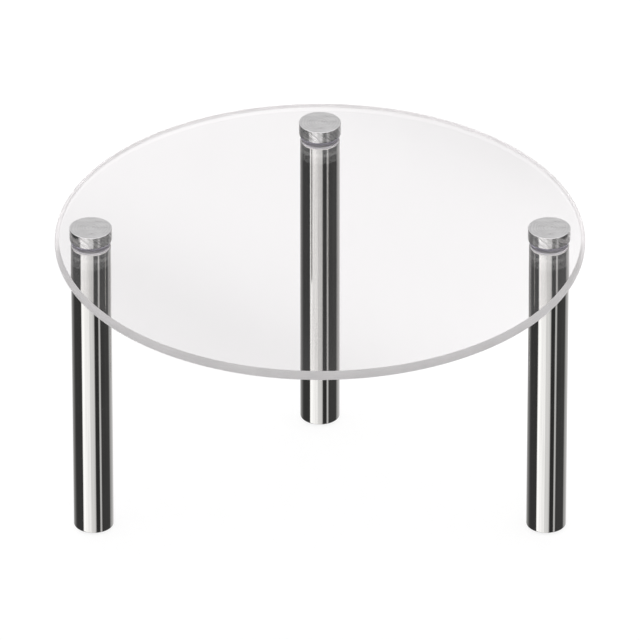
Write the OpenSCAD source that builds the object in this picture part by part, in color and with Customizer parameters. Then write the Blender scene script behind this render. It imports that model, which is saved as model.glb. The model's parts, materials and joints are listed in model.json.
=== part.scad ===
// Round cake stand: a clear plate clamped on three polished pillars by screw caps.
// Lengths in millimetres, angles in degrees. The origin is on the table under the
// centre of the plate. +Z is up, -Y is the front and +X is the right-hand side.
// Each leg is a stack on one axis, from the table up: foot pad and base plug,
// pillar, thread insert, seat washer, plate with hole sleeve, cap washer, cap.
// The stud is fixed in the cap and screws into the thread insert.

/* [Plate] */
// Diameter of the clear plate
plate_d = 250; // [200:1:320]
// Thickness of the clear plate
plate_t = 4.5; // [3:0.05:8]
// Radius of the rounding on the plate's upper and lower edges
plate_edge = 2; // [0.5:0.1:2.2]
// Flat broken on the edges of the plate's three holes
hole_edge = 0.2; // [0.1:0.05:0.3]

/* [Leg positions] */
// Distance from the plate's edge to the axis of a side pillar
side_inset = 17; // [12:0.5:40]
// Angle by which each side pillar stands in front of the plate's middle
side_angle = 2.5; // [0:0.5:40]
// Distance from the plate's edge to the axis of the back pillar
back_inset = 31; // [12:0.5:60]

/* [Pillar] */
// Outside diameter of the pillar tube
pillar_d = 19; // [15:0.1:26]
// Wall of the pillar tube
pillar_wall = 1.2; // [0.8:0.1:1.6]
// Length of the pillar tube
pillar_l = 151.5; // [80:0.5:240]
// Flat turned on the outer edges of the tube's two ends
pillar_edge = 0.5; // [0.1:0.1:0.7]

/* [Screw cap] */
// Diameter of the cap
cap_d = 20; // [16:0.1:28]
// Height of the cap
cap_h = 6.1; // [5:0.1:12]
// Flat turned on the cap's upper edge
cap_top_edge = 0.2; // [0.1:0.1:1]
// Flat turned on the cap's lower edge
cap_low_edge = 0.4; // [0.1:0.1:1]
// Metal left in the cap above the blind hole that the stud is fixed in
cap_roof = 1.7; // [1:0.1:3]

/* [Stud and thread] */
// Outside diameter of the thread
stud_d = 8; // [5:0.1:10]
// Advance of the thread in one turn
stud_pitch = 1.25; // [0.5:0.05:2]
// Turns that take the stud from tight to free
stud_turns = 8; // [4:1:10]
// Flat on the two ends of the stud
stud_edge = 0.7; // [0.2:0.1:1]
// Radial clearance of the thread in the cap and in the insert
thread_clearance = 0.05; // [0.02:0.01:0.1]

/* [Thread insert] */
// Wall that the insert has under its blind hole
insert_floor = 4; // [2:0.5:10]
// Depth of the insert's upper face below the end of the tube
insert_recess = 0.3; // [0.1:0.1:1]
// Depth of the hole left below the tip of the stud
insert_spare = 2; // [1:0.5:6]

/* [Washers and sleeve] */
// Thickness of each washer
washer_t = 0.8; // [0.6:0.1:2]
// Distance that a washer's edge stands in from the edge of what it lies against
washer_inset = 0.3; // [0.1:0.1:0.8]
// Radial clearance of a washer round the stud
washer_clearance = 0.3; // [0.1:0.05:0.5]
// Wall of the sleeve that lines a hole in the plate
sleeve_wall = 0.75; // [0.5:0.05:1]
// Radial clearance of the sleeve round the stud
sleeve_clearance = 0.15; // [0.1:0.05:0.3]
// Radial clearance of the plate's hole round the sleeve
hole_clearance = 0.1; // [0.05:0.05:0.3]
// Gap left above the sleeve so that the washers clamp the plate
sleeve_gap = 0.2; // [0.1:0.1:0.5]

/* [Foot] */
// Wall that the plug in the lower end of the tube has above its blind hole
plug_roof = 5; // [2:0.5:20]
// Depth of the plug's lower face above the end of the tube
plug_recess = 0.8; // [0.3:0.1:3]
// Radial clearance of the foot pad in the end of the tube
pad_clearance = 0.9; // [0.3:0.1:1.5]
// Height by which the pad lifts the tube off the table
pad_lift = 1; // [0.6:0.1:3]
// Flat on the lower edge of the pad
pad_edge = 0.4; // [0.1:0.1:0.5]
// Diameter of the pad's peg, which is pressed into the plug
peg_d = 6; // [3:0.1:7]
// Length of the pad's peg
peg_l = 6; // [3:0.5:12]
// Depth of the hole left above the tip of the peg
peg_spare = 1; // [0.5:0.5:4]

/* [Hidden] */
// Smoothness of the turned pieces and of the plate
turned_fn = 96;
plate_fn = 240;
edge_fn = 64;
// Flat side left at least between the plate's two roundings
plate_side = 0.1;
// Overlap that keeps a cut from ending on a face
cut = 1;

// The three legs and the pieces that each has
LEGS = ["left", "back", "right"];
LEG_PIECES = [
    "cap", "stud", "cap_washer", "hole_sleeve", "seat_washer",
    "pillar", "thread_insert", "base_plug", "foot_pad"
];

// Radii
plate_r = plate_d / 2;
plate_edge_r = min(plate_edge, (plate_t - plate_side) / 2);
pillar_r = pillar_d / 2;
tube_bore_r = pillar_r - pillar_wall;
stud_r = stud_d / 2;
thread_hole_r = stud_r + thread_clearance;
pad_r = tube_bore_r - pad_clearance;
seat_washer_r = pillar_r - washer_inset;
cap_washer_r = cap_d / 2 - washer_inset;
washer_hole_r = stud_r + washer_clearance;
sleeve_bore_r = stud_r + sleeve_clearance;
sleeve_r = sleeve_bore_r + sleeve_wall;
plate_hole_r = sleeve_r + hole_clearance;

// Heights above the table
pillar_low_z = pad_lift;
pillar_top_z = pillar_low_z + pillar_l;
plug_low_z = pillar_low_z + plug_recess;
insert_top_z = pillar_top_z - insert_recess;
plate_low_z = pillar_top_z + washer_t;
plate_top_z = plate_low_z + plate_t;
cap_low_z = plate_top_z + washer_t;

// Depths and lengths of the blind holes and of what they are cut in
cap_hole_depth = cap_h - cap_roof;
plug_hole_depth = peg_l + peg_spare;
plug_l = plug_hole_depth + plug_roof;
stud_travel = stud_pitch * stud_turns;
stud_low_z = insert_top_z - stud_travel;
stud_top_z = cap_low_z + cap_hole_depth;
insert_hole_depth = stud_travel + insert_spare;
insert_l = insert_hole_depth + insert_floor;

// Distance of a leg's axis from the plate's centre, and its direction
function leg_radius(leg) = plate_r - (leg == "back" ? back_inset : side_inset);
function leg_angle(leg) =
    leg == "back" ? 90
    : leg == "right" ? -side_angle
    : 180 + side_angle;
function leg_place(leg) = leg_radius(leg) * [cos(leg_angle(leg)), sin(leg_angle(leg)), 0];

// Outline of a ring from z = 0 to z = h, with flats on its outer edges
function ring_outline(inner_r, outer_r, h, low_edge, top_edge) = [
    [inner_r, 0],
    [outer_r - low_edge, 0],
    [outer_r, low_edge],
    [outer_r, h - top_edge],
    [outer_r - top_edge, h],
    [inner_r, h]
];

// A turned ring or, with an inner radius of zero, a turned disc
module turned_ring(inner_r, outer_r, h, low_edge = 0, top_edge = 0) {
    rotate_extrude($fn = turned_fn)
        polygon(ring_outline(inner_r, outer_r, h, low_edge, top_edge));
}

// A turned disc with a blind hole cut into its lower or upper face
module blind_disc(outer_r, h, low_edge, top_edge, hole_r, hole_depth, hole_up) {
    difference() {
        turned_ring(0, outer_r, h, low_edge, top_edge);
        translate([0, 0, hole_up ? h - hole_depth : -cut])
            cylinder(r = hole_r, h = hole_depth + cut, $fn = turned_fn);
    }
}

// Puts a piece on a leg's axis at a height above the table
module on_leg(leg, z) {
    translate(leg_place(leg) + [0, 0, z]) children();
}

// A through hole for a sleeve, with its edges broken
module sleeve_hole() {
    flare = hole_edge + cut;
    translate([0, 0, -cut])
        cylinder(r = plate_hole_r, h = plate_t + 2 * cut, $fn = turned_fn);
    translate([0, 0, -cut])
        cylinder(r1 = plate_hole_r + flare, r2 = plate_hole_r, h = flare, $fn = turned_fn);
    translate([0, 0, plate_t - hole_edge])
        cylinder(r1 = plate_hole_r, r2 = plate_hole_r + flare, h = flare, $fn = turned_fn);
}

// Half of the plate's section, with its outer edge rounded above and below
module plate_section() {
    square([plate_r - plate_edge_r, plate_t]);
    translate([0, plate_edge_r]) square([plate_r, plate_t - 2 * plate_edge_r]);
    for (z = [plate_edge_r, plate_t - plate_edge_r]) {
        translate([plate_r - plate_edge_r, z]) circle(r = plate_edge_r, $fn = edge_fn);
    }
}

module plate() {
    color("aliceblue", 0.35)
        translate([0, 0, plate_low_z])
            difference() {
                rotate_extrude($fn = plate_fn) plate_section();
                for (leg = LEGS) {
                    translate(leg_place(leg)) sleeve_hole();
                }
            }
}

module cap(leg) {
    color("silver")
        on_leg(leg, cap_low_z)
            blind_disc(cap_d / 2, cap_h, cap_low_edge, cap_top_edge,
                       thread_hole_r, cap_hole_depth, false);
}

module stud(leg) {
    color("darkgray")
        on_leg(leg, stud_low_z)
            turned_ring(0, stud_r, stud_top_z - stud_low_z, stud_edge, stud_edge);
}

// A leg's upper washer fits its cap, and its lower washer fits its pillar
module washer(leg, z, r) {
    color("lightsteelblue", 0.6)
        on_leg(leg, z)
            turned_ring(washer_hole_r, r, washer_t);
}

module hole_sleeve(leg) {
    color("lightsteelblue", 0.6)
        on_leg(leg, plate_low_z)
            turned_ring(sleeve_bore_r, sleeve_r, plate_t - sleeve_gap);
}

module pillar(leg) {
    color("gainsboro")
        on_leg(leg, pillar_low_z)
            turned_ring(tube_bore_r, pillar_r, pillar_l, pillar_edge, pillar_edge);
}

module thread_insert(leg) {
    color("darkgray")
        on_leg(leg, insert_top_z - insert_l)
            blind_disc(tube_bore_r, insert_l, 0, 0, thread_hole_r, insert_hole_depth, true);
}

module base_plug(leg) {
    color("dimgray")
        on_leg(leg, plug_low_z)
            blind_disc(tube_bore_r, plug_l, 0, 0, peg_d / 2, plug_hole_depth, false);
}

module foot_pad(leg) {
    color("whitesmoke")
        on_leg(leg, 0)
            union() {
                turned_ring(0, pad_r, plug_low_z, pad_edge, 0);
                cylinder(d = peg_d, h = plug_low_z + peg_l, $fn = turned_fn);
            }
}

plate();
for (leg = LEGS) {
    cap(leg);
    stud(leg);
    washer(leg, plate_top_z, cap_washer_r);
    hole_sleeve(leg);
    washer(leg, pillar_top_z, seat_washer_r);
    pillar(leg);
    thread_insert(leg);
    base_plug(leg);
    foot_pad(leg);
}
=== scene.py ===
"""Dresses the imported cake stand: a clear round plate on three polished screw-in legs.

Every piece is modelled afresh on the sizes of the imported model. It rides on the body
of the node that it stands for, so a cap and its stud turn and climb together.
"""

import json
import logging
import math
from collections.abc import Callable, Sequence
from dataclasses import dataclass
from enum import Enum

import bmesh
import bpy
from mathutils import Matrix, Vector


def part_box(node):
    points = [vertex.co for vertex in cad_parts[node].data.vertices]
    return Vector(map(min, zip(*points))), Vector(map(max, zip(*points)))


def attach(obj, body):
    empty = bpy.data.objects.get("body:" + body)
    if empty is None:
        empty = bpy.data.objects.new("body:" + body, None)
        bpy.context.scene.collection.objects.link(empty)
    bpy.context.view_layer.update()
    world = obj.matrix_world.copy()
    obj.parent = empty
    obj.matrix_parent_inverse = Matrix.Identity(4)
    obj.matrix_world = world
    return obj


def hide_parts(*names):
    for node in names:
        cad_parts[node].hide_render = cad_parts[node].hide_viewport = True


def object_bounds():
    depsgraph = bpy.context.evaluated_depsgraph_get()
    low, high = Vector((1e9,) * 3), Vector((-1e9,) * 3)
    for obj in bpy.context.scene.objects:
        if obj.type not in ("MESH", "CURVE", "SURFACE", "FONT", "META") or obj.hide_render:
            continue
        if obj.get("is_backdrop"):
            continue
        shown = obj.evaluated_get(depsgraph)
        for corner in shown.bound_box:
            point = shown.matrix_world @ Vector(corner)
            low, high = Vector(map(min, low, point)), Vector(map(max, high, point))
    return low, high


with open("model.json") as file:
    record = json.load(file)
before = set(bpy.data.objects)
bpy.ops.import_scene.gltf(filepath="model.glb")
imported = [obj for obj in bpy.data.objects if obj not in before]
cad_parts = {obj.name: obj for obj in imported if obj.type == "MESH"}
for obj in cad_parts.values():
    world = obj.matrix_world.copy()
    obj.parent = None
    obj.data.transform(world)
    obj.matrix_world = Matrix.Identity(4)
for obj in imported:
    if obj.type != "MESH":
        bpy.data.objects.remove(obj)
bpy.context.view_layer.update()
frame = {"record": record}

MM = 0.001
MERGE_DISTANCE = 0.0005 * MM
# How far off a ring or a side a corner or a face may be and still count as on it
ON_RING = 0.02 * MM
ON_SIDE = 0.05 * MM
# Upward share of a face's normal below which it is upright, and above which it is level
UPRIGHT = 0.1
LEVEL = 0.999
# Air left between clear pieces that lie on each other, so that each keeps its own skin
SKIN = 0.02 * MM
# A piece with two finishes wears the second one where Blank.give says
SECOND_FINISH = 1
# A ramp's greys end at 1, so those of the light tent are kept as shares of this light
BRIGHTEST = 2
# One dull bounce outweighs all the mirror bounces that a path can have
DULL_WEIGHT = 100
ORIGIN = Vector().freeze()

Triple = tuple[float, float, float]
Colour = Triple
Outline = Sequence[tuple[float, float]]


class Leg(Enum):
    """The three legs, by where they stand."""

    LEFT = "left"
    BACK = "back"
    RIGHT = "right"

    def node(self, piece: str) -> str:
        """Returns the name of this leg's node for a kind of piece."""
        return f"{piece}_{self.value}"


class Slot(Enum):
    """The record's material slots."""

    PLATE = "clear_plate"
    CLEAR_PLASTIC = "clear_plastic"
    PILLAR = "polished_steel"
    CAP = "cap_steel"
    STUD = "stud_steel"
    INSERT = "insert_steel"
    PLUG = "plug_plastic"
    PAD = "pad_rubber"


# ------------------------------------------------------------------ shader graphs


class Wire:
    """A node's output that the arithmetic operators turn into Math nodes."""

    def __init__(self, graph: "Graph", socket: bpy.types.NodeSocket) -> None:
        """Wraps one output socket of a graph."""
        self.graph = graph
        self.socket = socket

    def math(self, operation: str, *terms: "Wire | float") -> "Wire":
        """Adds a Math node.

        Args:
            operation: The node's operation.
            terms: All of its terms in order, this wire among them.

        Returns:
            The node's output.
        """
        sockets = dict(enumerate(terms))
        return self.graph.wire("ShaderNodeMath", {"operation": operation}, sockets)

    def __add__(self, other: "Wire | float") -> "Wire":
        """Returns self + other."""
        return self.math("ADD", self, other)

    def __radd__(self, other: float) -> "Wire":
        """Returns other + self."""
        return self.math("ADD", other, self)

    def __sub__(self, other: "Wire | float") -> "Wire":
        """Returns self - other."""
        return self.math("SUBTRACT", self, other)

    def __rsub__(self, other: float) -> "Wire":
        """Returns other - self."""
        return self.math("SUBTRACT", other, self)

    def __mul__(self, other: "Wire | float") -> "Wire":
        """Returns self * other."""
        return self.math("MULTIPLY", self, other)

    def __rmul__(self, other: float) -> "Wire":
        """Returns other * self."""
        return self.math("MULTIPLY", other, self)

    def __pow__(self, other: "Wire | float") -> "Wire":
        """Returns self ** other."""
        return self.math("POWER", self, other)

    def sine(self) -> "Wire":
        """Returns the sine of this wire."""
        return self.math("SINE", self)

    def between(self, low: float, high: float) -> "Wire":
        """Steps smoothly from 0 to 1.

        Args:
            low: Where the step starts.
            high: Where it ends.

        Returns:
            0 below the step and 1 above it.
        """
        settings = {"interpolation_type": "SMOOTHSTEP"}
        sockets = {"Value": self, "From Min": low, "From Max": high}
        return self.graph.wire("ShaderNodeMapRange", settings, sockets)


class Graph:
    """The node tree of a material or of the world."""

    def __init__(self, tree: bpy.types.NodeTree) -> None:
        """Empties a node tree and takes it over."""
        self.tree = tree
        tree.nodes.clear()

    def node(
        self, kind: str, settings: dict | None = None, sockets: dict | None = None
    ) -> bpy.types.Node:
        """Adds one node.

        Args:
            kind: The node's type.
            settings: Its properties, set before its sockets. "stops" are a ramp's
                positions and greys.
            sockets: Values or wires, by the input's name or number.

        Returns:
            The new node.
        """
        node = self.tree.nodes.new(kind)
        for name, value in (settings or {}).items():
            if name == "stops":
                self.set_stops(node.color_ramp, value)
            else:
                setattr(node, name, value)
        for key, value in (sockets or {}).items():
            if isinstance(value, Wire):
                self.tree.links.new(value.socket, node.inputs[key])
            else:
                node.inputs[key].default_value = value
        return node

    @staticmethod
    def set_stops(ramp: bpy.types.ColorRamp, stops: Sequence[tuple[float, float]]) -> None:
        """Gives a ramp its stops.

        Args:
            ramp: The ramp to fill.
            stops: Positions from 0 to 1 in rising order, each with a grey.
        """
        while len(ramp.elements) > 1:
            ramp.elements.remove(ramp.elements[-1])
        for number, (position, grey) in enumerate(stops):
            element = ramp.elements[0] if number == 0 else ramp.elements.new(position)
            element.position = position
            element.color = (grey, grey, grey, 1)

    def wire(
        self,
        kind: str,
        settings: dict | None = None,
        sockets: dict | None = None,
        output: int | str = 0,
    ) -> Wire:
        """Adds one node, as node() does.

        Args:
            kind: The node's type.
            settings: Its properties.
            sockets: Values or wires, by the input's name or number.
            output: Which output is wanted, by name or number.

        Returns:
            That output.
        """
        return Wire(self, self.node(kind, settings, sockets).outputs[output])

    def mix(self, factor: Wire, first: Wire | Colour, second: Wire | Colour) -> Wire:
        """Blends two colours.

        Args:
            factor: The share of the second colour.
            first: The colour at 0.
            second: The colour at 1.

        Returns:
            The blended colour.
        """
        colours = [c if isinstance(c, Wire) else (*c, 1) for c in (first, second)]
        settings = {"data_type": "RGBA", "clamp_factor": True}
        # The node's colour inputs are numbers 6 and 7, and its colour output is number 2
        return self.wire("ShaderNodeMix", settings, {0: factor, 6: colours[0], 7: colours[1]}, 2)

    def place(self, axis: Vector, scale: Triple = (1, 1, 1)) -> Wire:
        """Measures places from a vertical axis.

        Args:
            axis: The point on the table that becomes the origin.
            scale: What each coordinate is multiplied by.

        Returns:
            The moved and scaled object coordinates.
        """
        coordinates = self.wire("ShaderNodeTexCoord", output="Object")
        sockets = {"Vector": coordinates, "Location": tuple(-axis)}
        moved = self.wire("ShaderNodeMapping", {"vector_type": "POINT"}, sockets)
        return self.vector_math("MULTIPLY", moved, scale)

    def vector_math(
        self, operation: str, first: Wire, second: Wire | Triple | None = None, output: int | str = 0
    ) -> Wire:
        """Adds a Vector Math node.

        Args:
            operation: The node's operation.
            first: Its first vector.
            second: Its second vector, if it has one.
            output: The output that is wanted, the vector or the "Value".

        Returns:
            That output.
        """
        sockets = {0: first} if second is None else {0: first, 1: second}
        return self.wire("ShaderNodeVectorMath", {"operation": operation}, sockets, output)

    def noise(self, place: Wire, scale: float, detail: float = 2, roughness: float = 0.5) -> Wire:
        """Returns noise from 0 to 1, with features of about 1 / scale metres."""
        sockets = {"Vector": place, "Scale": scale, "Detail": detail, "Roughness": roughness}
        return self.wire("ShaderNodeTexNoise", {}, sockets)

    def split(self, vector: Wire) -> tuple[Wire, Wire, Wire]:
        """Returns a vector's three coordinates."""
        node = self.node("ShaderNodeSeparateXYZ", {}, {0: vector})
        return tuple(Wire(self, output) for output in node.outputs)

    def radius(self, place: Wire) -> Wire:
        """Returns the distance from the vertical axis."""
        flat = self.vector_math("MULTIPLY", place, (1, 1, 0))
        return self.vector_math("LENGTH", flat, output="Value")

    def bump(self, height: Wire, depth: float, under: Wire | None = None) -> Wire:
        """Bends a normal by a height pattern.

        Args:
            height: The pattern, from 0 to 1.
            depth: How far apart 0 and 1 are, in metres.
            under: The normal that is bent, or None for the surface's own.

        Returns:
            The bent normal.
        """
        sockets = {"Height": height, "Distance": depth}
        if under is not None:
            sockets["Normal"] = under
        return self.wire("ShaderNodeBump", {}, sockets)


# ------------------------------------------------------------------ finishes


@dataclass(frozen=True)
class Finish:
    """A material's even values. Each kind of finish adds its own detail to them."""

    name: str
    colour: Colour
    roughness: float
    metallic: float = 0.0
    ior: float = 1.5
    transmission: float = 0.0

    def material(self, axis: Vector) -> bpy.types.Material:
        """Makes the material.

        Args:
            axis: The point on the table that its pattern is centred on.

        Returns:
            The new material.
        """
        material = bpy.data.materials.new(self.name)
        material.use_nodes = True
        graph = Graph(material.node_tree)
        sockets = {
            "Base Color": (*self.colour, 1),
            "Metallic": self.metallic,
            "Roughness": self.roughness,
            "IOR": self.ior,
            "Transmission Weight": self.transmission,
        }
        sockets.update(self.detail(graph, axis))
        shader = graph.wire("ShaderNodeBsdfPrincipled", {}, sockets)
        graph.node("ShaderNodeOutputMaterial", {}, {"Surface": shader})
        return material

    def toned(self, share: float) -> Colour:
        """Returns the colour with its brightness changed."""
        return tuple(share * c for c in self.colour)

    def detail(self, graph: Graph, axis: Vector) -> dict[str, Wire]:
        """Adds what varies over the surface.

        Args:
            graph: The material's nodes.
            axis: The point on the table that the pattern is centred on.

        Returns:
            The shader's varying inputs, by name.
        """
        raise NotImplementedError


@dataclass(frozen=True)
class DrawnTube(Finish):
    """Polished tube with the fine lengthwise lines that drawing leaves."""

    line_depth: float = 0.004 * MM
    lines_per_mm: float = 0.7
    line_stretch: float = 0.012
    marks_per_mm: float = 0.05
    mark_dullness: float = 0.03
    dull_share: float = 0.88

    def detail(self, graph: Graph, axis: Vector) -> dict[str, Wire]:
        """Adds streaks in gloss, tone and surface that run along the tube.

        Args:
            graph: The material's nodes.
            axis: The point on the table that the pattern is centred on.

        Returns:
            The shader's varying inputs, by name.
        """
        streaked = graph.place(axis, (1, 1, self.line_stretch))
        lines = graph.noise(streaked, self.lines_per_mm / MM, 3)
        fine = graph.noise(streaked, 4 * self.lines_per_mm / MM, 2)
        marks = graph.noise(graph.place(axis), self.marks_per_mm / MM, 3).between(0.45, 0.75)
        shade = (0.6 * lines + 0.4 * fine).between(0.3, 0.7)
        return {
            "Base Color": graph.mix(shade, self.toned(self.dull_share), self.colour),
            "Roughness": self.roughness * (0.7 + 0.6 * fine) + self.mark_dullness * marks,
            "Normal": graph.bump(lines, self.line_depth),
        }


@dataclass(frozen=True)
class TurnedFace(Finish):
    """Satin metal with the concentric marks of a facing cut."""

    groove_pitch: float = 1.3 * MM
    groove_depth: float = 0.006 * MM
    wander_per_mm: float = 0.2
    wander_reach: float = 2.4 * MM
    grain_per_mm: float = 6.0
    grain_depth: float = 0.003 * MM
    patches_per_mm: float = 0.5
    patch_stretch: float = 0.35
    low_share: float = 0.84

    def detail(self, graph: Graph, axis: Vector) -> dict[str, Wire]:
        """Adds rings round the axis with a fine grain over them.

        Args:
            graph: The material's nodes.
            axis: The point on the table that the pattern is centred on.

        Returns:
            The shader's varying inputs, by name.
        """
        place = graph.place(axis)
        radius = graph.radius(place)
        wander = graph.noise(place, self.wander_per_mm / MM, 2)
        phase = (radius + wander * self.wander_reach) * (math.tau / self.groove_pitch)
        rings = phase.sine() * 0.5 + 0.5
        grain = graph.noise(place, self.grain_per_mm / MM, 3, 0.7)
        stretched = graph.place(axis, (self.patch_stretch, 1, 1))
        patches = graph.noise(stretched, self.patches_per_mm / MM, 3, 0.6)
        shade = (0.2 * rings + 0.1 * grain + 0.7 * patches).between(0.35, 0.65)
        ringed = graph.bump(rings, self.groove_depth)
        return {
            "Base Color": graph.mix(shade, self.toned(self.low_share), self.colour),
            "Roughness": self.roughness * (0.75 + 0.5 * patches),
            "Normal": graph.bump(grain, self.grain_depth, ringed),
        }


@dataclass(frozen=True)
class BrushedSide(Finish):
    """Satin side of a turned cap with slanting brush marks."""

    marks_per_mm: float = 1.1
    slant: float = 9.0
    mark_stretch: float = 0.12
    marks_round: float = 1.1
    mark_depth: float = 0.004 * MM
    grain_per_mm: float = 4.0
    low_share: float = 0.62

    def detail(self, graph: Graph, axis: Vector) -> dict[str, Wire]:
        """Adds brush marks that climb round the side at a slant.

        Args:
            graph: The material's nodes.
            axis: The point on the table that the pattern is centred on.

        Returns:
            The shader's varying inputs, by name.
        """
        place = graph.place(axis)
        x, y, z = graph.split(place)
        turn = x.math("ARCTAN2", x, y)
        climb = z * (self.marks_per_mm / MM) - turn * self.slant
        along = z * (self.mark_stretch / MM) + turn * self.marks_round
        brushed = graph.wire("ShaderNodeCombineXYZ", {}, {0: climb, 1: along, 2: 0.0})
        marks = graph.noise(brushed, 1.0, 3, 0.6)
        grain = graph.noise(place, self.grain_per_mm / MM, 2)
        shade = (0.8 * marks + 0.2 * grain).between(0.35, 0.65)
        return {
            "Base Color": graph.mix(shade, self.toned(self.low_share), self.colour),
            "Roughness": self.roughness * (0.7 + 0.6 * marks),
            "Normal": graph.bump(marks, self.mark_depth),
        }


@dataclass(frozen=True)
class CutSteel(Finish):
    """Plated machine steel: even grain, a few darker stains and cutting lines."""

    line_pitch: float = 0.2 * MM
    line_depth: float = 0.004 * MM
    stains_per_mm: float = 0.35
    stain_dullness: float = 0.1
    grain_per_mm: float = 5.0
    dark_share: float = 0.62

    def detail(self, graph: Graph, axis: Vector) -> dict[str, Wire]:
        """Adds the fine lines of a cutter and the stains of handling.

        Args:
            graph: The material's nodes.
            axis: The point on the table that the pattern is centred on.

        Returns:
            The shader's varying inputs, by name.
        """
        place = graph.place(axis)
        _, _, z = graph.split(place)
        lines = ((z + graph.radius(place)) * (math.tau / self.line_pitch)).sine() * 0.5 + 0.5
        stains = graph.noise(place, self.stains_per_mm / MM, 4, 0.65).between(0.4, 0.7)
        grain = graph.noise(place, self.grain_per_mm / MM, 2)
        return {
            "Base Color": graph.mix(stains, self.colour, self.toned(self.dark_share)),
            "Roughness": self.roughness * (0.8 + 0.4 * grain) + self.stain_dullness * stains,
            "Normal": graph.bump(0.6 * lines + 0.4 * grain, self.line_depth),
        }


@dataclass(frozen=True)
class ClearSheet(Finish):
    """Clear cast sheet, almost flat, with faint wipe marks in its gloss."""

    waves_per_mm: float = 0.02
    wave_depth: float = 0.004 * MM
    wipes_per_mm: float = 0.05
    wipe_stretch: float = 0.25
    dusty_share: float = 0.985

    def detail(self, graph: Graph, axis: Vector) -> dict[str, Wire]:
        """Adds the slow waves of a cast sheet and the traces of a cloth.

        Args:
            graph: The material's nodes.
            axis: The point on the table that the pattern is centred on.

        Returns:
            The shader's varying inputs, by name.
        """
        place = graph.place(axis)
        waves = graph.noise(place, self.waves_per_mm / MM, 1)
        stretched = graph.place(axis, (1, self.wipe_stretch, 1))
        wiped = graph.noise(stretched, self.wipes_per_mm / MM, 4, 0.6).between(0.45, 0.8)
        return {
            "Base Color": graph.mix(wiped, self.colour, self.toned(self.dusty_share)),
            "Roughness": self.roughness * (0.5 + wiped),
            "Normal": graph.bump(waves, self.wave_depth),
        }


@dataclass(frozen=True)
class SawnEdge(Finish):
    """Satin edge of a cut sheet, with the lines that the cutter left across it."""

    lines_per_mm: float = 1.3
    line_stretch: float = 0.1
    line_depth: float = 0.01 * MM
    clouds_per_mm: float = 0.08
    dark_share: float = 0.93

    def detail(self, graph: Graph, axis: Vector) -> dict[str, Wire]:
        """Adds short upright cutter lines and a cloudy tone.

        Args:
            graph: The material's nodes.
            axis: The point on the table that the pattern is centred on.

        Returns:
            The shader's varying inputs, by name.
        """
        upright = graph.place(axis, (1, 1, self.line_stretch))
        lines = graph.noise(upright, self.lines_per_mm / MM, 3)
        clouds = graph.noise(graph.place(axis), self.clouds_per_mm / MM, 3).between(0.3, 0.7)
        return {
            "Base Color": graph.mix(clouds, self.toned(self.dark_share), self.colour),
            "Roughness": self.roughness * (0.8 + 0.4 * lines),
            "Normal": graph.bump(lines, self.line_depth),
        }


@dataclass(frozen=True)
class Moulded(Finish):
    """Moulded plastic or rubber with a fine spark-eroded grain and flow marks."""

    grain_per_mm: float = 3.0
    grain_depth: float = 0.01 * MM
    flow_per_mm: float = 0.2
    pale_gain: float = 1.12
    pale_lift: float = 0.004

    def detail(self, graph: Graph, axis: Vector) -> dict[str, Wire]:
        """Adds the mould's grain and slow changes of tone.

        Args:
            graph: The material's nodes.
            axis: The point on the table that the pattern is centred on.

        Returns:
            The shader's varying inputs, by name.
        """
        place = graph.place(axis)
        grain = graph.noise(place, self.grain_per_mm / MM, 3)
        flow = graph.noise(place, self.flow_per_mm / MM, 2).between(0.35, 0.65)
        pale = tuple(min(1.0, self.pale_gain * c + self.pale_lift) for c in self.colour)
        return {
            "Base Color": graph.mix(flow, self.colour, pale),
            "Roughness": self.roughness * (0.8 + 0.4 * grain),
            "Normal": graph.bump(grain, self.grain_depth),
        }


PLATE_SHEET = ClearSheet(
    "clear cast sheet", (0.945, 0.93, 0.936), roughness=0.004, ior=1.49, transmission=1.0
)
PLATE_EDGE = SawnEdge(
    "satin sheet edge", (0.97, 0.945, 0.95), roughness=0.4, ior=1.15, transmission=0.5
)
TUBE_STEEL = DrawnTube("polished tube", (0.83, 0.82, 0.80), roughness=0.05, metallic=1.0)
TUBE_INSIDE = CutSteel("tube bore", (0.5, 0.49, 0.48), roughness=0.4, metallic=1.0)
CAP_TOP = TurnedFace("faced cap top", (0.84, 0.83, 0.835), roughness=0.3, metallic=1.0)
CAP_SIDE = BrushedSide("brushed cap side", (0.88, 0.875, 0.87), roughness=0.2, metallic=1.0)
STUD_STEEL = CutSteel("plated stud", (0.62, 0.62, 0.61), roughness=0.28, metallic=1.0)
INSERT_STEEL = CutSteel("plain insert", (0.5, 0.5, 0.5), roughness=0.36, metallic=1.0)
CAP_WASHER_PLASTIC = Moulded(
    "clear washer",
    (0.78, 0.75, 0.86),
    roughness=0.14,
    ior=1.46,
    transmission=0.7,
    grain_per_mm=1.0,
    grain_depth=0.004 * MM,
)
SEAT_WASHER_PLASTIC = Moulded(
    "milky washer",
    (0.94, 0.92, 0.98),
    roughness=0.2,
    ior=1.46,
    transmission=0.25,
    grain_per_mm=1.0,
    grain_depth=0.004 * MM,
)
PLUG_PLASTIC = Moulded("black plug", (0.018, 0.018, 0.019), roughness=0.5)
PAD_RUBBER = Moulded("milky pad", (0.78, 0.79, 0.80), roughness=0.35, ior=1.42, transmission=0.6)


# ------------------------------------------------------------------ mesh work


@dataclass(frozen=True)
class Round:
    """The upright cylinder that a CAD node fills."""

    centre: Vector
    radius: float
    low: float
    high: float

    @classmethod
    def of(cls, node: str) -> "Round":
        """Measures a CAD node.

        Args:
            node: The node's name.

        Returns:
            Its axis, radius and heights, to a hundredth of a millimetre.
        """
        low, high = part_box(node)
        middle = (low + high) / 2
        radius = round(max(high.x - low.x, high.y - low.y) / 2, 5)
        return cls(Vector((middle.x, middle.y, 0)), radius, round(low.z, 5), round(high.z, 5))

    @property
    def height(self) -> float:
        """The cylinder's height."""
        return self.high - self.low


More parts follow.
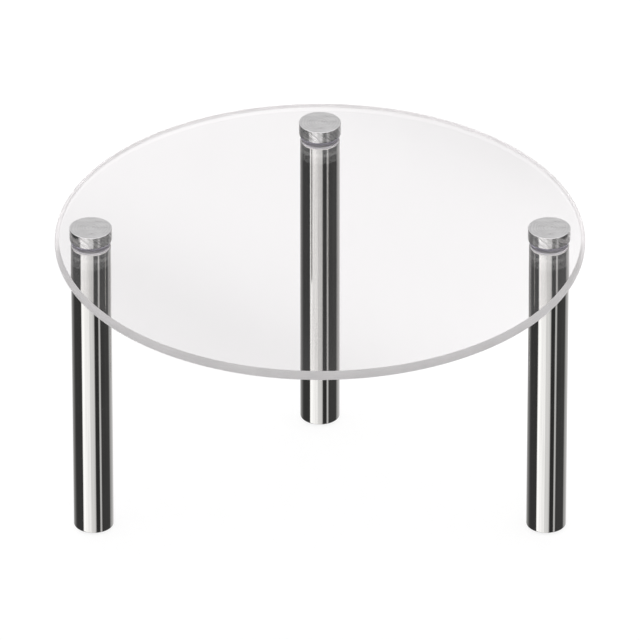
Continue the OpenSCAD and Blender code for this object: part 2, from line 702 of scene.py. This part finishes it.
class Blank:
    """A mesh in the making, round the Z axis until it is moved to its place."""

    def __init__(self) -> None:
        """Starts with no stock."""
        self.bm = bmesh.new()

    def turn(self, outline: Outline, steps: int, closed: bool = False) -> None:
        """Spins an outline one full turn round the Z axis.

        Args:
            outline: Pairs of radius and height.
            steps: How many steps the turn takes.
            closed: Whether the last point joins the first.
        """
        points = [self.bm.verts.new((radius, 0, height)) for radius, height in outline]
        edges = [self.bm.edges.new(pair) for pair in zip(points, points[1:])]
        if closed:
            edges.append(self.bm.edges.new((points[-1], points[0])))
        bmesh.ops.spin(
            self.bm,
            geom=[*points, *edges],
            cent=(0, 0, 0),
            axis=(0, 0, 1),
            angle=math.tau,
            steps=steps,
            use_merge=True,
        )
        self.tidy()

    def tidy(self) -> None:
        """Merges doubles and turns every face outwards."""
        bmesh.ops.remove_doubles(self.bm, verts=self.bm.verts, dist=MERGE_DISTANCE)
        bmesh.ops.recalc_face_normals(self.bm, faces=self.bm.faces)

    def ring(self, radius: float, height: float) -> list[bmesh.types.BMEdge]:
        """Finds the edges of one ring.

        Args:
            radius: The ring's radius.
            height: Its height.

        Returns:
            Its edges.
        """

        def near(vert: bmesh.types.BMVert) -> bool:
            """Tells whether a corner is on the ring."""
            off = abs(vert.co.xy.length - radius) + abs(vert.co.z - height)
            return off < ON_RING

        return [edge for edge in self.bm.edges if all(near(vert) for vert in edge.verts)]

    def round_rings(self, rings: Outline, width: float, segments: int = 3) -> None:
        """Rounds the corners at some rings.

        Args:
            rings: Radius and height of each ring.
            width: How far each rounding reaches.
            segments: Faces across the rounding.
        """
        edges = [edge for radius, height in rings for edge in self.ring(radius, height)]
        self.bevel(edges, width, segments)

    def bevel(self, edges: list[bmesh.types.BMEdge], width: float, segments: int) -> None:
        """Rounds some edges.

        Args:
            edges: The edges to round.
            width: How far each rounding reaches.
            segments: Faces across the rounding.
        """
        bmesh.ops.bevel(
            self.bm,
            geom=edges,
            offset=width,
            segments=segments,
            profile=0.5,
            affect="EDGES",
            material=-1,
        )

    def cut(self, height: float, keep_above: bool) -> None:
        """Cuts the blank level and closes the cut.

        Args:
            height: Where the cut is.
            keep_above: Which side stays.
        """
        geometry = [*self.bm.verts, *self.bm.edges, *self.bm.faces]
        made = bmesh.ops.bisect_plane(
            self.bm,
            geom=geometry,
            dist=MERGE_DISTANCE,
            plane_co=(0, 0, height),
            plane_no=(0, 0, 1),
            clear_inner=keep_above,
            clear_outer=not keep_above,
        )
        rim = [item for item in made["geom_cut"] if isinstance(item, bmesh.types.BMEdge)]
        bmesh.ops.edgeloop_fill(self.bm, edges=rim)

    def raise_ribs(self, radius: float, every: int, inset: float, depth: float) -> None:
        """Raises some of the side's faces as ribs.

        Args:
            radius: Where the side is.
            every: One face in this many becomes a rib.
            inset: How far a rib's foot reaches beyond its crown.
            depth: How far the ribs stand out, or in when it is negative.
        """
        sides = []
        for face in self.bm.faces:
            off = abs(face.calc_center_median().xy.length - radius)
            if abs(face.normal.z) < UPRIGHT and off < ON_SIDE:
                sides.append(face)
        sides.sort(key=lambda face: math.atan2(*face.calc_center_median().xy))
        bmesh.ops.inset_individual(
            self.bm, faces=sides[::every], thickness=inset, depth=depth, use_even_offset=True
        )

    def give(self, slot_number: int, chosen: Callable[[bmesh.types.BMFace], bool]) -> None:
        """Gives some of the faces another finish.

        Args:
            slot_number: The finish's number among the piece's finishes.
            chosen: Tells whether a face takes it.
        """
        for face in self.bm.faces:
            if chosen(face):
                face.material_index = slot_number

    def piece(
        self, name: str, node: str, slot: Slot, finishes: Sequence[Finish], axis: Vector = ORIGIN
    ) -> bpy.types.Object:
        """Finishes the mesh as a piece that stands for a CAD node.

        Args:
            name: The piece's name.
            node: The CAD node that it replaces and whose body it rides on.
            slot: The record's material slot. Not used.
            finishes: The finishes of its faces, by number.
            axis: Where the blank's own axis goes.

        Returns:
            The new object.
        """
        bmesh.ops.translate(self.bm, vec=axis, verts=self.bm.verts)
        mesh = bpy.data.meshes.new(name)
        self.bm.to_mesh(mesh)
        self.bm.free()
        for polygon in mesh.polygons:
            polygon.use_smooth = True
        for finish in finishes:
            mesh.materials.append(finish.material(axis))
        piece = bpy.data.objects.new(name, mesh)
        bpy.context.scene.collection.objects.link(piece)
        shading = piece.modifiers.new("flat faces keep flat shading", "WEIGHTED_NORMAL")
        shading.weight = 100
        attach(piece, BODY_OF[node])
        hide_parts(node)
        return piece


BODY_OF = {
    node: body for body, nodes in frame["record"]["behaviour"]["bodies"].items() for node in nodes
}


@dataclass(frozen=True)
class Thread:
    """A right-handed 60 degree thread whose ridges pass a given height at angle 0."""

    crest: float
    root: float
    pitch: float
    datum: float
    steps: int = 48

    def wind(self, blank: Blank, low: float, high: float) -> None:
        """Winds the thread into a blank and cuts it level at both ends.

        Args:
            blank: The empty blank.
            low: Height of the lower end.
            high: Height of the upper end.
        """
        flat = self.pitch / 16
        flank = abs(self.crest - self.root) * math.tan(math.radians(30))
        turns_below = math.ceil((self.datum - low) / self.pitch) + 1
        start = self.datum - turns_below * self.pitch
        turns = math.ceil((high - start) / self.pitch) + 1
        outline = [
            (self.crest, 0),
            (self.crest, flat),
            (self.root, flat + flank),
            (self.root, self.pitch - flat - flank),
            (self.crest, self.pitch - flat),
            (self.crest, self.pitch),
        ]
        bm = blank.bm
        points = [bm.verts.new((radius, 0, start + height)) for radius, height in outline]
        edges = [bm.edges.new(pair) for pair in zip(points, points[1:])]
        bmesh.ops.spin(
            bm,
            geom=[*points, *edges],
            cent=(0, 0, 0),
            axis=(0, 0, 1),
            dvec=(0, 0, self.pitch / self.steps),
            angle=math.tau,
            steps=self.steps,
        )
        first_turn = list(bm.faces)
        for turn in range(1, turns):
            copied = bmesh.ops.duplicate(bm, geom=first_turn)["geom"]
            corners = [item for item in copied if isinstance(item, bmesh.types.BMVert)]
            bmesh.ops.translate(bm, vec=(0, 0, turn * self.pitch), verts=corners)
        bmesh.ops.remove_doubles(bm, verts=bm.verts, dist=MERGE_DISTANCE)
        blank.cut(low, keep_above=True)
        blank.cut(high, keep_above=False)
        blank.tidy()


# ------------------------------------------------------------------ the stand's pieces


@dataclass(frozen=True)
class Plate:
    """The clear round plate with a hole for each leg."""

    rounding: float = 2 * MM
    rounding_faces: int = 8
    hole_rounding: float = 0.2 * MM
    hole_rounding_faces: int = 2
    hole_clearance: float = 0.1 * MM
    rim_steps: int = 360
    hole_steps: int = 96

    def build(self) -> bpy.types.Object:
        """Cuts the plate out of sheet, rounds its edges and dresses it.

        Returns:
            The plate.
        """
        size = Round.of("plate")
        blank = Blank()
        bm = blank.bm
        bmesh.ops.create_circle(bm, segments=self.rim_steps, radius=size.radius)
        holes = []
        for leg in Leg:
            sleeve = Round.of(leg.node("hole_sleeve"))
            radius = sleeve.radius + self.hole_clearance
            made = bmesh.ops.create_circle(bm, segments=self.hole_steps, radius=radius)
            bmesh.ops.translate(bm, vec=sleeve.centre, verts=made["verts"])
            holes.append((sleeve.centre, radius))
        sheet = bmesh.ops.triangle_fill(bm, edges=bm.edges, use_beauty=True)
        faces = [item for item in sheet["geom"] if isinstance(item, bmesh.types.BMFace)]
        bmesh.ops.translate(bm, vec=(0, 0, size.low), verts=bm.verts)
        raised = bmesh.ops.extrude_face_region(bm, geom=faces, use_keep_orig=True)
        corners = [item for item in raised["geom"] if isinstance(item, bmesh.types.BMVert)]
        bmesh.ops.translate(bm, vec=(0, 0, size.height), verts=corners)
        blank.tidy()
        rims = [(size.radius, size.low), (size.radius, size.high)]
        blank.round_rings(rims, self.rounding, self.rounding_faces)
        self.round_holes(blank, holes)
        blank.give(SECOND_FINISH, lambda face: abs(face.normal.z) < LEVEL)
        return blank.piece("clear_plate", "plate", Slot.PLATE, [PLATE_SHEET, PLATE_EDGE])

    def round_holes(self, blank: Blank, holes: list[tuple[Vector, float]]) -> None:
        """Breaks the edges of the holes.

        Args:
            blank: The plate's mesh.
            holes: Centre and radius of each hole.
        """
        edges = []
        for edge in blank.bm.edges:
            if abs(edge.verts[0].co.z - edge.verts[1].co.z) > MERGE_DISTANCE:
                continue
            for centre, radius in holes:
                off = [abs((vert.co.xy - centre.xy).length - radius) for vert in edge.verts]
                if max(off) < ON_RING / 2:
                    edges.append(edge)
        blank.bevel(edges, self.hole_rounding, self.hole_rounding_faces)


@dataclass(frozen=True)
class LegParts:
    """One leg from its cap down to its foot pad."""

    leg: Leg
    steps: int = 192
    pitch: float = 1.25 * MM
    cap_top_rounding: float = 0.2 * MM
    cap_top_slope: float = 0.5
    cap_low_rounding: float = 0.4 * MM
    cap_roof: float = 1.7 * MM
    washer_clearance: float = 0.3 * MM
    washer_rounding: float = 0.25 * MM
    sleeve_clearance: float = 0.15 * MM
    tube_rounding: float = 0.5 * MM
    thread_clearance: float = 0.05 * MM
    thread_depth: float = 0.68 * MM
    crest_clearance: float = 0.03 * MM
    stud_chamfer: float = 0.7 * MM
    countersink: float = 0.6 * MM
    insert_floor: float = 4 * MM
    insert_rim: float = 0.6 * MM
    rib_depth: float = 0.15 * MM
    rib_foot: float = 0.12 * MM
    faces_per_rib: int = 4
    peg_hole_roof: float = 5 * MM
    peg_radius: float = 3 * MM
    pad_edge: float = 0.5 * MM
    pad_chamfer: float = 0.6 * MM
    shoulder_rounding: float = 0.3 * MM
    grip_start: float = 1.5 * MM
    grip_ring: float = 0.9 * MM
    grip_groove: float = 0.25 * MM
    barb_depth: float = 0.1 * MM
    barb_low: float = 1.6 * MM
    barb_high: float = 1.2 * MM

    def size(self, piece: str) -> Round:
        """Returns the cylinder of one of this leg's nodes."""
        return Round.of(self.leg.node(piece))

    def finish(
        self, blank: Blank, piece: str, name: str, slot: Slot, *finishes: Finish
    ) -> bpy.types.Object:
        """Puts a blank on the leg's axis as one of its pieces.

        Args:
            blank: The finished mesh, round the Z axis.
            piece: The kind of CAD node that it replaces.
            name: What the piece is called, without the leg.
            slot: The record's material slot.
            finishes: The finishes of its faces, by number.

        Returns:
            The new object.
        """
        axis = self.size("pillar").centre
        return blank.piece(self.leg.node(name), self.leg.node(piece), slot, finishes, axis)

    def build(self) -> list[bpy.types.Object]:
        """Builds the leg's pieces from the top down.

        Returns:
            All of the pieces.
        """
        return [
            self.cap(),
            self.stud(),
            self.washer("cap_washer", CAP_WASHER_PLASTIC),
            self.sleeve(),
            self.washer("seat_washer", SEAT_WASHER_PLASTIC),
            self.pillar(),
            self.insert(),
            self.plug(),
            self.pad(),
        ]

    def cap(self) -> bpy.types.Object:
        """Turns the cap with its blind hole.

        Returns:
            The cap.
        """
        size = self.size("cap")
        bore = self.size("stud").radius + self.thread_clearance
        roof = size.high - self.cap_roof
        blank = Blank()
        outline = [
            (0, size.high),
            (size.radius, size.high),
            (size.radius, size.low),
            (bore + self.countersink, size.low),
            (bore, size.low + self.countersink),
            (bore, roof),
            (0, roof),
        ]
        blank.turn(outline, self.steps)
        blank.round_rings([(size.radius, size.high)], self.cap_top_rounding, 4)
        blank.round_rings([(size.radius, size.low)], self.cap_low_rounding, 3)
        blank.give(SECOND_FINISH, lambda face: face.normal.z < self.cap_top_slope)
        return self.finish(blank, "cap", "turned_cap", Slot.CAP, CAP_TOP, CAP_SIDE)

    def stud(self) -> bpy.types.Object:
        """Winds the stud's thread and chamfers its two ends.

        Returns:
            The stud.
        """
        size = self.size("stud")
        datum = self.size("thread_insert").high
        crest = size.radius - self.crest_clearance
        blank = Blank()
        Thread(crest, crest - self.thread_depth, self.pitch, datum).wind(blank, size.low, size.high)
        for vert in blank.bm.verts:
            inwards = min(vert.co.z - size.low, size.high - vert.co.z)
            limit = crest - self.stud_chamfer + inwards
            if vert.co.xy.length > limit:
                vert.co.xy *= limit / vert.co.xy.length
        return self.finish(blank, "stud", "threaded_stud", Slot.STUD, STUD_STEEL)

    def washer(self, piece: str, finish: Finish) -> bpy.types.Object:
        """Turns a washer that keeps a skin of air to its neighbours.

        Args:
            piece: Which of the leg's two washers it is.
            finish: Its finish.

        Returns:
            The washer.
        """
        size = self.size(piece)
        bore = self.size("stud").radius + self.washer_clearance
        low = size.low + SKIN
        high = size.high - SKIN
        corners = [(bore, low), (size.radius, low), (size.radius, high), (bore, high)]
        blank = Blank()
        blank.turn(corners, self.steps, closed=True)
        blank.round_rings(corners, self.washer_rounding, 3)
        return self.finish(blank, piece, f"clear_{piece}", Slot.CLEAR_PLASTIC, finish)

    def sleeve(self) -> bpy.types.Object:
        """Turns the clear sleeve that keeps the stud off the plate.

        Returns:
            The sleeve.
        """
        size = self.size("hole_sleeve")
        bore = self.size("stud").radius + self.sleeve_clearance
        low = size.low + SKIN
        corners = [(bore, low), (size.radius, low), (size.radius, size.high), (bore, size.high)]
        blank = Blank()
        blank.turn(corners, self.steps // 2, closed=True)
        blank.round_rings(corners, self.washer_rounding / 2, 2)
        return self.finish(
            blank, "hole_sleeve", "clear_sleeve", Slot.CLEAR_PLASTIC, CAP_WASHER_PLASTIC
        )

    def pillar(self) -> bpy.types.Object:
        """Turns the tube with rounded ends.

        Returns:
            The tube.
        """
        size = self.size("pillar")
        bore = self.size("thread_insert").radius
        inside = [(bore, size.low), (bore, size.high)]
        outside = [(size.radius, size.low), (size.radius, size.high)]
        blank = Blank()
        blank.turn([inside[0], *outside, inside[1]], self.steps, closed=True)
        blank.round_rings(outside, self.tube_rounding, 4)
        blank.round_rings(inside, self.tube_rounding / 2, 2)
        edge = bore + self.tube_rounding / 2
        blank.give(SECOND_FINISH, lambda face: face.calc_center_median().xy.length < edge)
        return self.finish(blank, "pillar", "polished_tube", Slot.PILLAR, TUBE_STEEL, TUBE_INSIDE)

    def insert(self) -> bpy.types.Object:
        """Turns the insert and winds the thread of its blind hole.

        Returns:
            The insert.
        """
        size = self.size("thread_insert")
        root = self.size("stud").radius + self.thread_clearance
        blank = Blank()
        floor = size.low + self.insert_floor
        thread = Thread(root, root - self.thread_depth, self.pitch, size.high)
        thread.wind(blank, floor, size.high)
        lids = []
        for face in blank.bm.faces:
            below = size.high - face.calc_center_median().z
            if len(face.verts) > 4 and below < 2 * ON_SIDE:
                lids.append(face)
        # Without its lid the thread is the wall of a hole, which faces its axis
        bmesh.ops.delete(blank.bm, geom=lids, context="FACES_ONLY")
        bmesh.ops.reverse_faces(blank.bm, faces=blank.bm.faces)
        # The skin grows from the hole's mouth to a round rim, the top's edge and the foot
        edges = [edge for edge in blank.bm.edges if edge.is_boundary]
        grown = bmesh.ops.extrude_edge_only(blank.bm, edges=edges)
        ring = [item for item in grown["geom"] if isinstance(item, bmesh.types.BMVert)]
        for vert in ring:
            vert.co.xy *= (root + self.insert_rim) / vert.co.xy.length
        for radius, height in [(size.radius, size.high), (size.radius, size.low)]:
            edges = [item for item in grown["geom"] if isinstance(item, bmesh.types.BMEdge)]
            grown = bmesh.ops.extrude_edge_only(blank.bm, edges=edges)
            for vert in [item for item in grown["geom"] if isinstance(item, bmesh.types.BMVert)]:
                vert.co.xy *= radius / vert.co.xy.length
                vert.co.z = height
        edges = [item for item in grown["geom"] if isinstance(item, bmesh.types.BMEdge)]
        bmesh.ops.edgeloop_fill(blank.bm, edges=edges)
        blank.tidy()
        return self.finish(blank, "thread_insert", "threaded_insert", Slot.INSERT, INSERT_STEEL)

    def plug(self) -> bpy.types.Object:
        """Turns the ribbed plug that closes the tube's foot.

        Returns:
            The plug.
        """
        size = self.size("base_plug")
        body = size.radius - self.rib_depth
        roof = size.high - self.peg_hole_roof
        blank = Blank()
        outline = [
            (0, size.high),
            (body, size.high),
            (body, size.low),
            (self.peg_radius, size.low),
            (self.peg_radius, roof),
            (0, roof),
        ]
        blank.turn(outline, self.steps // 2)
        blank.raise_ribs(body, self.faces_per_rib, self.rib_foot, self.rib_depth)
        return self.finish(blank, "base_plug", "ribbed_plug", Slot.PLUG, PLUG_PLASTIC)

    def pad(self) -> bpy.types.Object:
        """Turns the foot pad, its grip rings and the peg that holds it.

        Returns:
            The pad.
        """
        size = self.size("foot_pad")
        plug = self.size("base_plug")
        groove = self.grip_groove
        blank = Blank()
        outline = [(0, groove)]
        radius = self.grip_start
        while radius + self.grip_ring < size.radius - self.pad_edge:
            outer = radius + self.grip_ring
            outline += [(radius, groove), (radius + groove, 0), (outer, 0), (outer + groove, groove)]
            radius += 2 * self.grip_ring
        shoulder = (size.radius, self.pad_edge)
        outline += [(size.radius - self.pad_chamfer, 0), shoulder, (size.radius, plug.low)]
        peg = self.peg_radius - self.barb_depth
        outline += [
            (peg, plug.low),
            (peg, size.high - self.barb_low),
            (self.peg_radius, size.high - self.barb_high),
            (peg - self.pad_chamfer, size.high),
            (0, size.high),
        ]
        blank.turn(outline, self.steps // 2)
        blank.round_rings([shoulder], self.shoulder_rounding)
        return self.finish(blank, "foot_pad", "grip_pad", Slot.PAD, PAD_RUBBER)


# ------------------------------------------------------------------ studio


@dataclass(frozen=True)
class Strip:
    """An upright strip of the light tent, between two directions.

    Directions are in degrees from the front and rise to the right. The light goes evenly
    from the first value, at the start, to the last one, at the end.
    """

    start: float
    end: float
    first: float
    last: float


@dataclass(frozen=True)
class Studio:
    """A white room, with dark and bright upright strips that only show in metal.

    Lights are shares of full white, angles are in degrees and lengths in metres. The
    lens is in millimetres, and the flag's reach is the cosine of the angle from it.
    """

    strips: tuple[Strip, ...] = (
        Strip(-180, -120, 0.60, 0.09),
        Strip(-112, -62, 0.045, 0.04),
        Strip(-57, -46, 1.28, 1.25),
        Strip(-43, -14, 1.12, 1.05),
        Strip(-11, 11, 0.78, 0.74),
        Strip(18, 38, 0.03, 0.03),
        Strip(42, 47, 0.58, 0.58),
        Strip(53, 110, 0.045, 0.055),
        Strip(118, 180, 0.34, 0.9),
    )
    tent_top: tuple[float, float] = (-0.1, 0.35)
    front_reach: tuple[float, float] = (-0.1, 0.6)
    rear_light: float = 0.66
    front_light: float = 1.3
    flag_light: float = 0.12
    flag_rise: float = 30.3
    flag_reach: tuple[float, float] = (0.9995, 0.99996)
    tent: float = 1.14
    floor_colour: Colour = (0.22, 0.22, 0.22)
    floor_glow: float = 0.79
    # Painted band of light on the floor: its extra glow, how far back its line passes and how wide
    # it is
    painted_band_glow: float = 0.11
    painted_band_depth: float = 0.29
    painted_band_width: float = 0.17
    backdrop: float = 1.05
    floor_span: float = 8.0
    camera_distance: float = 6.0
    camera_rise: float = 31.1
    camera_lens: float = 713.5
    clip_end: float = 50.0
    aim_share: float = 0.675

    def build(self) -> None:
        """Sets up the room, the floor and the camera."""
        bpy.context.scene.view_settings.view_transform = "Standard"
        self.room()
        self.floor()
        self.camera()

    def room(self) -> None:
        """Lights the scene from all sides, with strips for metal to reflect."""
        world = bpy.data.worlds.new("light tent")
        world.use_nodes = True
        bpy.context.scene.world = world
        graph = Graph(world.node_tree)
        direction = graph.wire("ShaderNodeTexCoord", output="Generated")
        x, y, z = graph.split(direction)
        turn = x.math("ARCTAN2", x, -1 * y) * (1 / math.tau) + 0.5
        stops = []
        for strip in self.strips:
            stops.append((strip.start / 360 + 0.5, strip.first / BRIGHTEST))
            stops.append((strip.end / 360 + 0.5, strip.last / BRIGHTEST))
        ramp = graph.wire("ShaderNodeValToRGB", {"stops": stops}, {0: turn})
        sides = BRIGHTEST * ramp
        above = z.between(*self.tent_top)
        high = (z - y).between(*self.front_reach)
        overhead = self.rear_light + high * (self.front_light - self.rear_light)
        seen_in_metal = sides * (1 - above) + overhead * above
        flag = self.towards_flag(graph, direction).between(*self.flag_reach)
        seen_in_metal = seen_in_metal + flag * (self.flag_light - seen_in_metal)
        lit = self.tent + self.mirrored(graph) * (seen_in_metal - self.tent)
        camera_ray = graph.wire("ShaderNodeLightPath", output="Is Camera Ray")
        seen = lit + camera_ray * (self.backdrop - lit)
        sockets = {"Color": (1, 1, 1, 1), "Strength": seen}
        background = graph.wire("ShaderNodeBackground", {}, sockets)
        graph.node("ShaderNodeOutputWorld", {}, {"Surface": background})

    def towards_flag(self, graph: Graph, direction: Wire) -> Wire:
        """Compares directions with that of the flag that the plate's face mirrors.

        Args:
            graph: The world's nodes.
            direction: The direction that light comes from.

        Returns:
            The cosine of the angle between the two.
        """
        rise = math.radians(self.flag_rise)
        aim = (0, math.cos(rise), math.sin(rise))
        return graph.vector_math("DOT_PRODUCT", direction, aim, "Value")

    @staticmethod
    def mirrored(graph: Graph) -> Wire:
        """Tells mirrored light from the rest.

        Args:
            graph: The nodes to add to.

        Returns:
            1 for light that reaches the camera by mirrors and clear pieces alone, or else 0.
        """
        rays = graph.node("ShaderNodeLightPath")
        mirrors = Wire(graph, rays.outputs["Glossy Depth"])
        dull = Wire(graph, rays.outputs["Diffuse Depth"])
        score = mirrors - DULL_WEIGHT * dull
        return score.math("GREATER_THAN", score, 0.5)

    def floor(self) -> None:
        """Lays the pale glowing floor, which metal doesn't reflect, with a painted band of light
        along a slanting line across it.
        """
        bm = bmesh.new()
        bmesh.ops.create_grid(bm, x_segments=1, y_segments=1, size=self.floor_span / 2)
        mesh = bpy.data.meshes.new("floor")
        bm.to_mesh(mesh)
        bm.free()
        material = bpy.data.materials.new("pale floor")
        material.use_nodes = True
        graph = Graph(material.node_tree)
        paper = graph.wire("ShaderNodeBsdfDiffuse", {}, {"Color": (*self.floor_colour, 1)})
        # Painted light: the floor glows brighter in a soft band along a slanting line behind the
        # stand, seen through the plate
        x, y, _ = graph.split(graph.place(Vector((0, self.painted_band_depth, 0))))
        across = (x + y) ** 2
        painted_light_band = 1 - across.between(0, self.painted_band_width**2)
        strength = self.floor_glow + self.painted_band_glow * painted_light_band
        glow = graph.wire("ShaderNodeEmission", {}, {"Color": (1, 1, 1, 1), "Strength": strength})
        table = graph.wire("ShaderNodeAddShader", {}, {0: paper, 1: glow})
        gap = graph.wire("ShaderNodeBsdfTransparent")
        skin = graph.wire("ShaderNodeMixShader", {}, {0: self.mirrored(graph), 1: table, 2: gap})
        graph.node("ShaderNodeOutputMaterial", {}, {"Surface": skin})
        mesh.materials.append(material)
        floor = bpy.data.objects.new("floor", mesh)
        bpy.context.scene.collection.objects.link(floor)
        floor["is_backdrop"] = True

    def camera(self) -> None:
        """Points the camera at the stand's axis, about two thirds of the way up."""
        low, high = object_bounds()
        aim = Vector((0, 0, low.z + self.aim_share * (high.z - low.z)))
        rise = math.radians(self.camera_rise)
        back = Vector((0, -math.cos(rise), math.sin(rise)))
        lens = bpy.data.cameras.new("camera")
        lens.lens = self.camera_lens
        lens.clip_end = self.clip_end
        camera = bpy.data.objects.new("camera", lens)
        camera.location = aim + back * self.camera_distance
        camera.rotation_euler = back.to_track_quat("Z", "Y").to_euler()
        bpy.context.scene.collection.objects.link(camera)
        bpy.context.scene.camera = camera


def main() -> None:
    """Builds the plate, the legs and the studio, and reports each piece."""
    logging.basicConfig(level=logging.INFO, format="%(message)s")
    pieces = [Plate().build()]
    for leg in Leg:
        pieces += LegParts(leg).build()
    for piece in pieces:
        logging.info("%s: %d faces", piece.name, len(piece.data.polygons))
    Studio().build()


if __name__ == "__main__":
    main()
